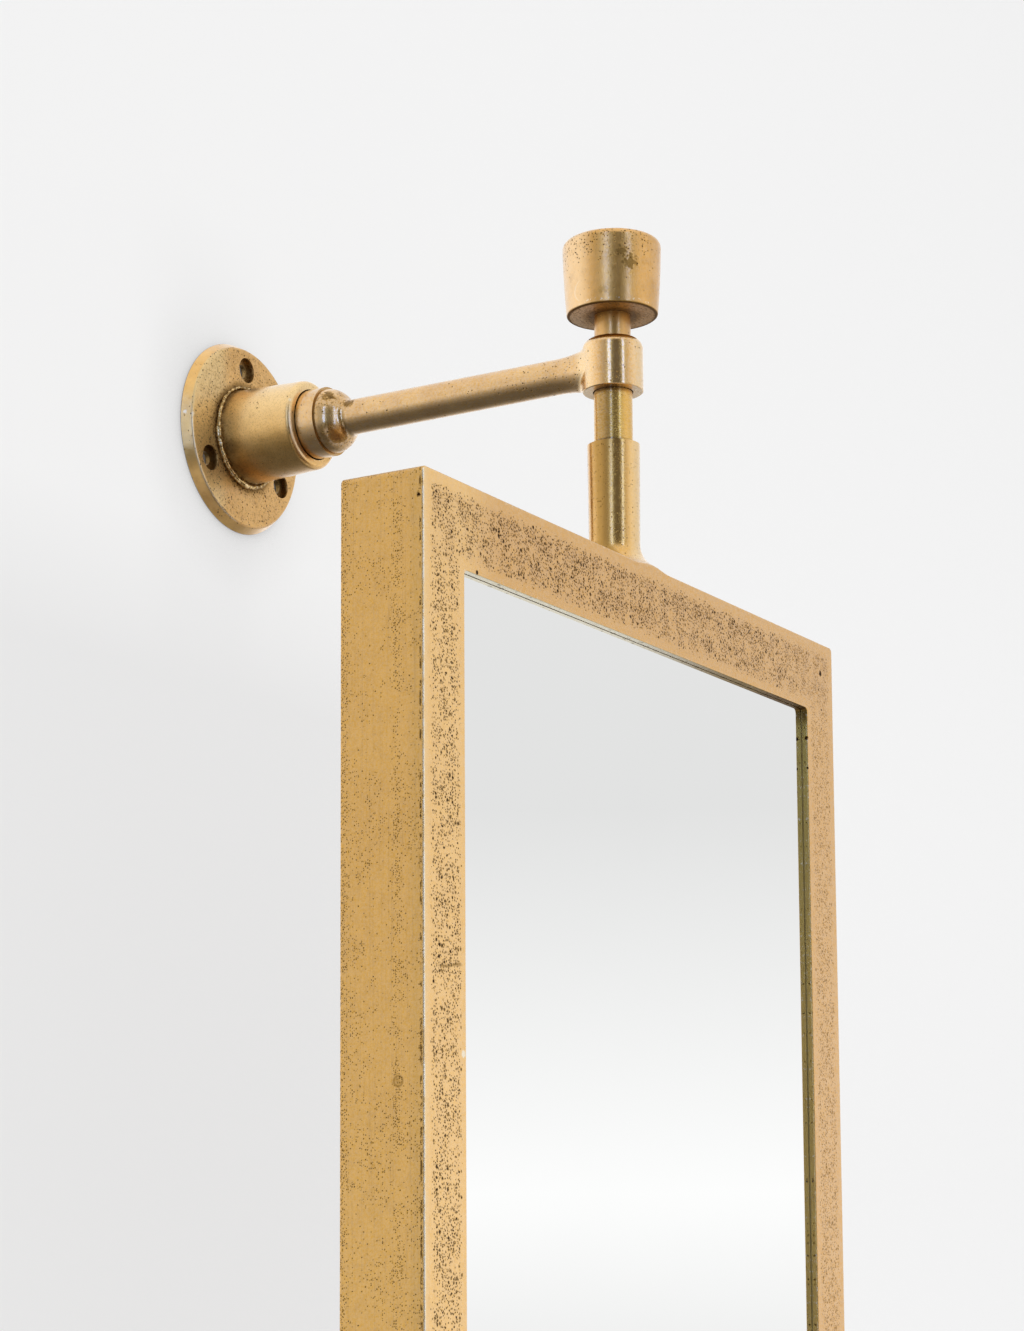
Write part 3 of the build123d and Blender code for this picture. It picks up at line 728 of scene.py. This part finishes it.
# Bright metal: painted highlights along the left and right arrises, nicks round the opening and the
# top.
arris_highlight = band(from_side, 0.0004, 0.0008) * ease(deep, face - 0.0007, face - 0.0002)
shine = flecks(place, 0.0040, 0.42, 0.55, stretch=(1, 1, 2.0), shift=(3, 1, 6))
inner_edge = band(from_opening, 0.0003, 0.0008) * (front + reveal)
nicks = flecks(place, 0.0015, 0.62, 0.67, shift=(6, 9, 2))
bright_marks = arris_highlight * (0.20 + shine * 0.65) + nicks * inner_edge * 0.6 + marks(place, opening_chip) * 0.9
bright_marks = bright_marks + nicks * band(from_end, 0.0008, 0.0012) * 0.4
roughness = 0.42 - on_sleeve * 0.18 + inside * 0.2 + (brushing - 0.5) * 0.12
cast_brass(shader, place, tone, open_pits, stain_and_shade, bright_marks, roughness, bump=0.35, skin_index=1.8)
dress(material, "mirror_frame")


# ---------------------------------------------------------------- fixings on the pin
# Zinc plated steel: the M10 nut and its washer that clamp the pin in the top rail, and the
# set screw in the back of the sleeve that stops it from turning.
dress(zinc_steel("pin_zinc", 0.28), "pin_washer", "pin_nut", "sleeve_set_screw")


# ---------------------------------------------------------------- glazing tape and blocks
# Closed-cell foam tape behind the lip, yellowed, with painted light on its underside at the left,
# and rubber setting blocks that the glass stands on.
white_foam = (0.95, 0.88, 0.70)
yellow_foam = (0.55, 0.42, 0.16)
brown_foam = (0.42, 0.31, 0.090)
black_rubber = (0.025, 0.025, 0.026)
grey_dust = (0.12, 0.115, 0.105)

material, shader, place, facing = new_finish("foam_tape")
x, _, _ = axes_of(place)
_, _, nz = axes_of(facing)
# Painted light: the tape's underside at the left is painted pale.
lit_underside = looks(-nz) * ease(x, 0.10, -0.02)
cells = place.node("TexVoronoi", {"Vector": place, "Scale": 2500.0})
slope = {"Strength": 0.6, "Distance": 0.0002, "Height": cells}
yellowed = tint(cells, brown_foam, yellow_foam)
connect(shader, {
    "Base Color": tint(lit_underside, yellowed, white_foam),
    "Roughness": 0.75 + cells * 0.2,
    "Normal": place.node("Bump", slope),
})
dress(material, "glazing_tape")

material, shader, place, _ = new_finish("block_rubber")
dust = grain(place, 0.002, 4.0, 0.7)
slope = {"Strength": 0.3, "Distance": 0.0002, "Height": dust}
connect(shader, {
    "Base Color": tint(ease(dust, 0.5, 0.8) * 0.5, black_rubber, grey_dust),
    "Roughness": 0.55 + dust * 0.3,
    "Normal": place.node("Bump", slope),
})
dress(material, "setting_blocks")


# ---------------------------------------------------------------- mirror glass
# Silvered float glass, held behind the lip. The front is the mirror, the back wears grey
# backing paint, and the edges are ground matt with a greenish cast.
clear_silver = (0.925, 0.93, 0.925)
dull_silver = (0.88, 0.885, 0.88)
grey_paint = (0.24, 0.25, 0.26)
dark_paint = (0.19, 0.20, 0.205)
green_edge = (0.42, 0.52, 0.47)
chalky_edge = (0.55, 0.62, 0.58)

material, shader, place, facing = new_finish("silvered_glass")
_, ny, _ = axes_of(facing)
silvered = ease(-ny, 0.90, 0.98)
painted = ease(ny, 0.90, 0.98)
haze = flecks(place, 0.05, 0.45, 0.8, roughness=0.5)
silver = tint(haze * 0.10, clear_silver, dull_silver)
paint_grain = grain(place, 0.004, 4.0, 0.6)
paint = tint(paint_grain * 0.6, grey_paint, dark_paint)
ground = tint(grain(place, 0.0008, 3.0), green_edge, chalky_edge)
connect(shader, {
    "Base Color": tint(silvered, tint(painted, ground, paint), silver),
    "Metallic": silvered,
    "Roughness": 0.45 + painted * 0.1 - silvered * 0.54 + paint_grain * 0.05 * painted,
})
dress(material, "mirror_glass")


# ---------------------------------------------------------------- backing board
# Tempered hardboard, cut from a sheet and laid against the glass. Its brown face is smooth,
# with pressed fibres and dark flecks.
brown_board = (0.30, 0.175, 0.085)
dark_fibre = (0.19, 0.105, 0.050)
light_board = (0.37, 0.235, 0.125)
black_fleck = (0.09, 0.05, 0.025)

material, shader, place, _ = new_finish("hardboard")
fibres = grain(place, 0.0009, 4.0, 0.7, stretch=(7, 1, 2))
dark_flecks = flecks(place, 0.0016, 0.62, 0.72, shift=(3, 3, 3))
light_clouds = flecks(place, 0.06, 0.35, 0.7, roughness=0.5)
tone = tint(fibres, brown_board, dark_fibre)
tone = tint(light_clouds * 0.35, tone, light_board)
slope = {"Strength": 0.35, "Distance": 0.0002, "Height": fibres}
connect(shader, {
    "Base Color": tint(dark_flecks * 0.6, tone, black_fleck),
    "Roughness": 0.55 + fibres * 0.25,
    "Normal": place.node("Bump", slope),
})
dress(material, "backing_board")


# ---------------------------------------------------------------- retaining clips
# Z-shaped clips pressed from zinc plated steel strip. Each turns on a button head screw in a
# boss of the frame and bears on the backing board.
dress(zinc_steel("clip_zinc", 0.36), "retaining_clips")
dress(zinc_steel("screw_zinc", 0.26), "clip_screws")


# ---------------------------------------------------------------- wall and floor
# A white wall that the mirror hangs on and a pale floor below it. The wall shows from its
# front only. Most of their level is their own, darkened by a painted shadow round the flange; the
# rest is lit and takes soft shadows.
floor_level = -1.6
wall_width = 10
wall_height = 5
floor_width = 14
wall_gap = 0.0003  # between the wall and the flange's back
wall_glow = 0.75  # the level that is their own
floor_glow = 0.80
lit_share = 0.16
contact_reach = 0.060  # how far a piece darkens the wall round it
under_flange = 0.0450  # radius of the wall's dark patch behind the screw holes
contact_shade = (0.1, 0.1, 0.1)
hole_shade = (0.03, 0.02, 0.01)
plain_white = (0.8, 0.8, 0.8, 1)


def backdrop(name, size, tilt, middle, glow, one_sided):
    """A stage rectangle with its paint: a level of its own for the camera and a lit part."""
    shape = bmesh.new()
    bmesh.ops.create_grid(shape, x_segments=1, y_segments=1, size=0.5)
    bmesh.ops.scale(shape, verts=shape.verts, vec=(*size, 1))
    bmesh.ops.rotate(shape, verts=shape.verts, matrix=Matrix.Rotation(tilt, 3, "X"))
    bmesh.ops.translate(shape, verts=shape.verts, vec=middle)
    made = put_in_scene(name, shape)
    made.visible_glossy = False

    material = bpy.data.materials.new(name + "_paint")
    material.use_nodes = True
    nodes = material.node_tree.nodes
    nodes.clear()
    camera_ray = Wire(nodes.new("ShaderNodeLightPath").outputs["Is Camera Ray"])
    near = {"Distance": contact_reach}
    open_sky = camera_ray.node("AmbientOcclusion", near, {"samples": 8}, out="AO")
    x, _, z = axes_of(camera_ray.node("TexCoord", {}, out="Object"))
    # Painted shadow on the wall's own level: darker where pieces are near, more to the lower left, and
    # dark behind the flange where the screw holes look through.
    low_left = ease(x + z, 0.070, -0.050)
    shade = ease(open_sky, 1.0, 0.50) * (0.26 + low_left * 0.62)
    paint = tint(shade, (1, 1, 1), contact_shade)
    paint = tint(ease(across(x, z), under_flange, under_flange - 0.0005), paint, hole_shade)
    own = camera_ray.node("Emission", {"Color": paint, "Strength": glow})
    lit = camera_ray.node("BsdfDiffuse", {"Color": (lit_share, lit_share, lit_share, 1)})
    seen = camera_ray.node("AddShader", {0: own, 1: lit})
    plain = camera_ray.node("BsdfDiffuse", {"Color": plain_white})
    shown = camera_ray.node("MixShader", {0: camera_ray, 1: plain, 2: seen})
    if one_sided:
        behind = camera_ray.node("NewGeometry", {}, out="Backfacing")
        clear = camera_ray.node("BsdfTransparent", {})
        shown = camera_ray.node("MixShader", {0: behind, 1: shown, 2: clear})
    connect(nodes.new("ShaderNodeOutputMaterial"), {"Surface": shown})
    made.data.materials.append(material)


wall_middle = (0, wall_gap, floor_level + wall_height / 2)
backdrop("wall", (wall_width, wall_height), math.pi / 2, wall_middle, wall_glow, one_sided=True)
floor_middle = (0, 0, floor_level)
backdrop("floor", (floor_width, floor_width), 0, floor_middle, floor_glow, one_sided=False)


# ---------------------------------------------------------------- studio
# A pale room all round for the camera. What the metal sees is the studio: bright panels to
# the left and right, a dark gap behind the camera, and a pale floor in front of the wall.
studio_yaw = math.radians(29.7)  # the camera's side, turned from -X towards -Y
towards_camera = Vector((-math.cos(studio_yaw), -math.sin(studio_yaw), 0))
towards_right = Vector((math.sin(studio_yaw), -math.cos(studio_yaw), 0))
ambient = 0.42  # what lights the matt surfaces
pale = 0.905  # what the camera sees past the wall
floor_shine = 0.8


def along(vector, axis):
    """How far a direction goes along an axis."""
    return vector.node("VectorMath", {0: vector, 1: axis}, {"operation": "DOT_PRODUCT"}, out="Value")


def turned(degrees):
    """Ramp position of a turn from the camera's side, positive to the right."""
    return degrees / 360 + 0.5


def raised(degrees):
    """Ramp position of a height above the horizon."""
    return math.sin(math.radians(degrees)) / 2 + 0.5


def levels(value, position, *stops):
    """Grey level from a ramp of (degrees, level) stops; position places the degrees on it."""
    greys = [(position(degrees), (level, level, level)) for degrees, level in stops]
    shade = value.node("ValToRGB", {0: value}, {"stops": greys})
    return axes_of(shade)[0]


world = bpy.data.worlds.new("studio")
world.use_nodes = True
bpy.context.scene.world = world
nodes = world.node_tree.nodes
direction = Wire(nodes.new("ShaderNodeTexCoord").outputs["Generated"])
camera_ray, glossy_ray = direction.node("LightPath", {}, out=("Is Camera Ray", "Is Glossy Ray"))

_, into_wall, up = axes_of(direction)
rise = up / 2 + 0.5
turn = direction.math("ARCTAN2", along(direction, towards_right), along(direction, towards_camera))
turn = turn / (2 * math.pi) + 0.5
panels = levels(
    turn, turned, (-150, 1.05), (-94, 1.15), (-62, 1.0), (-44, 0.62), (-22, 0.36), (-6, 0.14),
    (26, 0.13), (44, 0.46), (62, 0.88), (84, 1.08), (110, 1.0), (136, 1.0), (170, 1.12),
)
left_rise = levels(
    rise, raised, (-50, 0.12), (-25, 0.38), (-9, 0.86), (-1, 1.06), (8, 1.03), (17, 0.97), (60, 1.0),
)
right_rise = levels(
    rise, raised, (-45, 0.35), (-18, 0.90), (-0.9, 0.95), (1.7, 1.06), (9.4, 0.82), (30, 0.85),
    (70, 1.0),
)
on_right = ease(turn, turned(60), turned(105)) * ease(turn, turned(170), turned(140))
on_floor = ease(-into_wall, 0.0, 0.3) * ease(rise, raised(-24), raised(-45))
overhead = ease(rise, raised(30), raised(50))
all_round = overhead.math("MAXIMUM", overhead, on_floor)
heights = left_rise + (right_rise - left_rise) * on_right
heights = heights + (floor_shine - heights) * on_floor
studio = (panels + (1 - panels) * all_round) * heights
lighting = ambient + (studio - ambient) * glossy_ray
level = camera_ray * pale + (1 - camera_ray) * lighting
connect(nodes["Background"], {"Color": (1, 1, 1, 1), "Strength": level})


def around(degrees, distance, height):
    """A place round the pin, by its turn from the camera's side towards the right."""
    angle = math.radians(degrees)
    side = towards_camera * math.cos(angle) + towards_right * math.sin(angle)
    return Vector((0, -eye_axis, 0)) + side * distance + Vector((0, 0, height))


def soft_box(name, place, target, width, height, level, colour=None):
    """An area lamp whose face has this level.

    With a colour it only shows in shiny surfaces, and without one it only lights matt ones.
    """
    data = bpy.data.lights.new(name, "AREA")
    data.shape = "RECTANGLE"
    data.size, data.size_y = width, height
    data.energy = level * math.pi * width * height
    made = bpy.data.objects.new(name, data)
    made.location = place
    made.rotation_euler = (target - place).to_track_quat("-Z", "Y").to_euler()
    if colour:
        data.color = colour
    made.visible_diffuse = not colour
    made.visible_glossy = bool(colour)
    bpy.context.scene.collection.objects.link(made)


daylight = (0.55, 0.79, 1.42)
window_level = 2.2
window_height = 2.2
window_distance = 2.0
window_lift = 0.40
key_level = 15.0
key_size = 1.0
eye_place = Vector((0, -eye_axis, 0))
left_place = around(-15, window_distance, window_lift)
right_place = around(38, window_distance, window_lift)
key_place = Vector((0.35, -3.0, -0.12))
key_target = Vector((0, 0, -0.1))
soft_box("left_window", left_place, eye_place, 0.40, window_height, window_level, daylight)
soft_box("right_window", right_place, eye_place, 0.28, window_height, window_level, daylight)
soft_box("front_key", key_place, key_target, key_size, key_size, key_level)


# ---------------------------------------------------------------- camera
# Below the arm and to the left, looking up a little towards the wall, with the lens raised
# so that the upright edges stay nearly upright.
camera_place = (-1.0926, -0.7854, -0.4054)
camera_yaw = math.radians(32.806)
camera_pitch = math.radians(7.025)
lens = 77.35
lens_shift = (0.1, 0.2)
looking = Vector((
    math.cos(camera_yaw) * math.cos(camera_pitch),
    math.sin(camera_yaw) * math.cos(camera_pitch),
    math.sin(camera_pitch),
))
camera = bpy.data.objects.new("camera", bpy.data.cameras.new("camera"))
camera.location = camera_place
camera.rotation_euler = looking.to_track_quat("-Z", "Y").to_euler()
camera.data.lens = lens
camera.data.shift_x, camera.data.shift_y = lens_shift
bpy.context.scene.collection.objects.link(camera)
bpy.context.scene.camera = camera
bpy.context.scene.view_settings.view_transform = "Standard"
